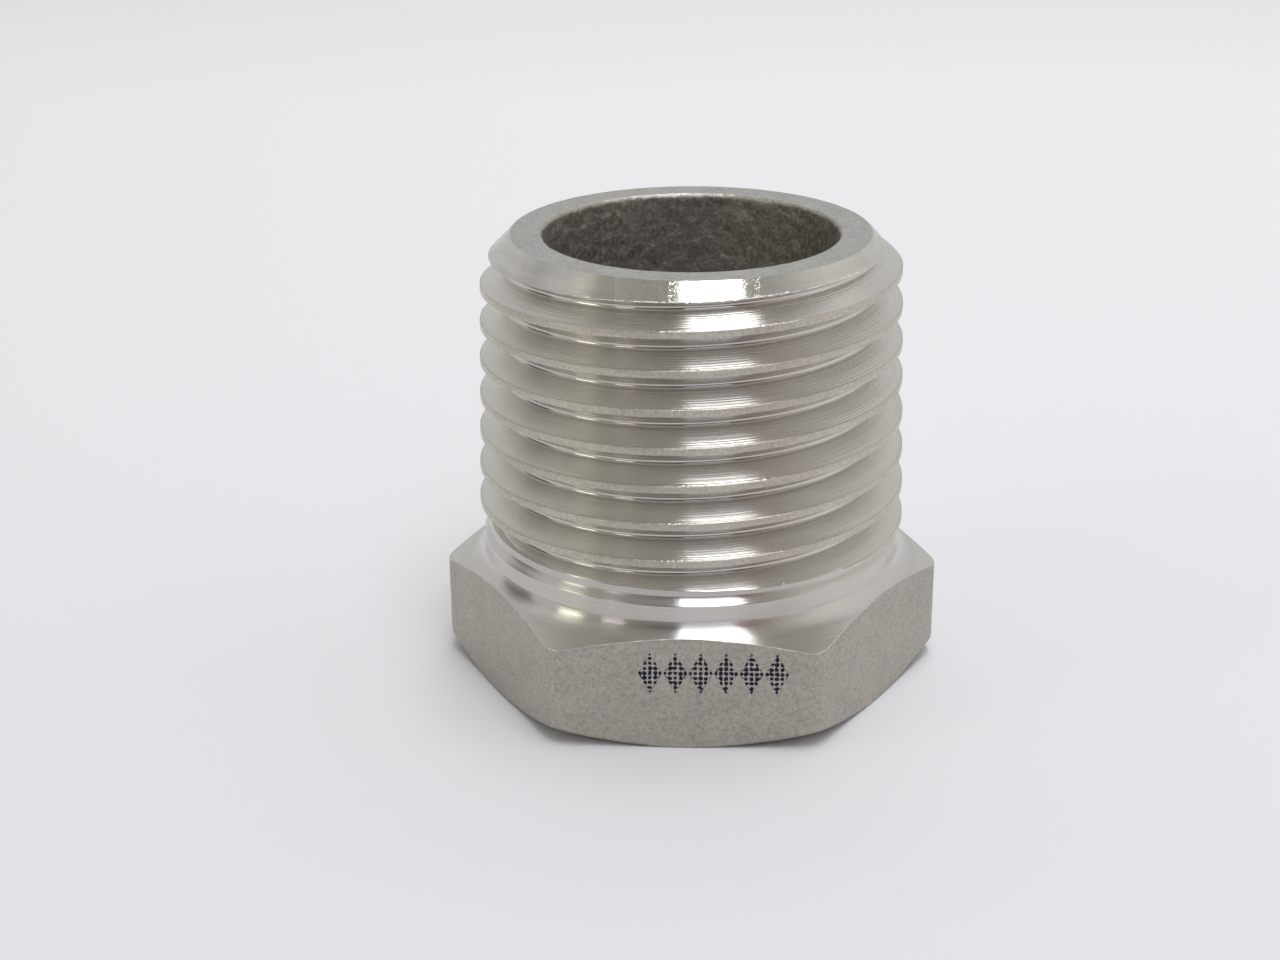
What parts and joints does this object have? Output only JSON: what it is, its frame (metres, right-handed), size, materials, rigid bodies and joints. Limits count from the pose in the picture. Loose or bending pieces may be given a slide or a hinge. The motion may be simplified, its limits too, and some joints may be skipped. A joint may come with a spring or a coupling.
{
  "type": "hexagon reducing bushing",
  "caption": "Stainless steel reducing bushing for pipework: a tapered male pipe thread above a hexagon wrench head, with a smaller tapered female thread inside the head.",
  "frame": {"origin": "centre of the hexagon's underside, on the surface that the fitting stands on", "axes": "+Z along the bore, from the hexagon towards the free end of the male thread; one flat of the hexagon faces -Y, and two opposite corners lie on the X axis"},
  "size_m": [0.0248, 0.0218, 0.0223],
  "materials": {
    "cast_skin": "matte, as cast and blasted stainless steel",
    "machined": "turned stainless steel, bright, with fine tool marks"
  },
  "bodies": {
    "root": {"hex_head": "cast_skin", "relief_neck": "machined", "shank": "machined", "male_thread": "machined", "female_thread": "machined"}
  },
  "joints": []
}
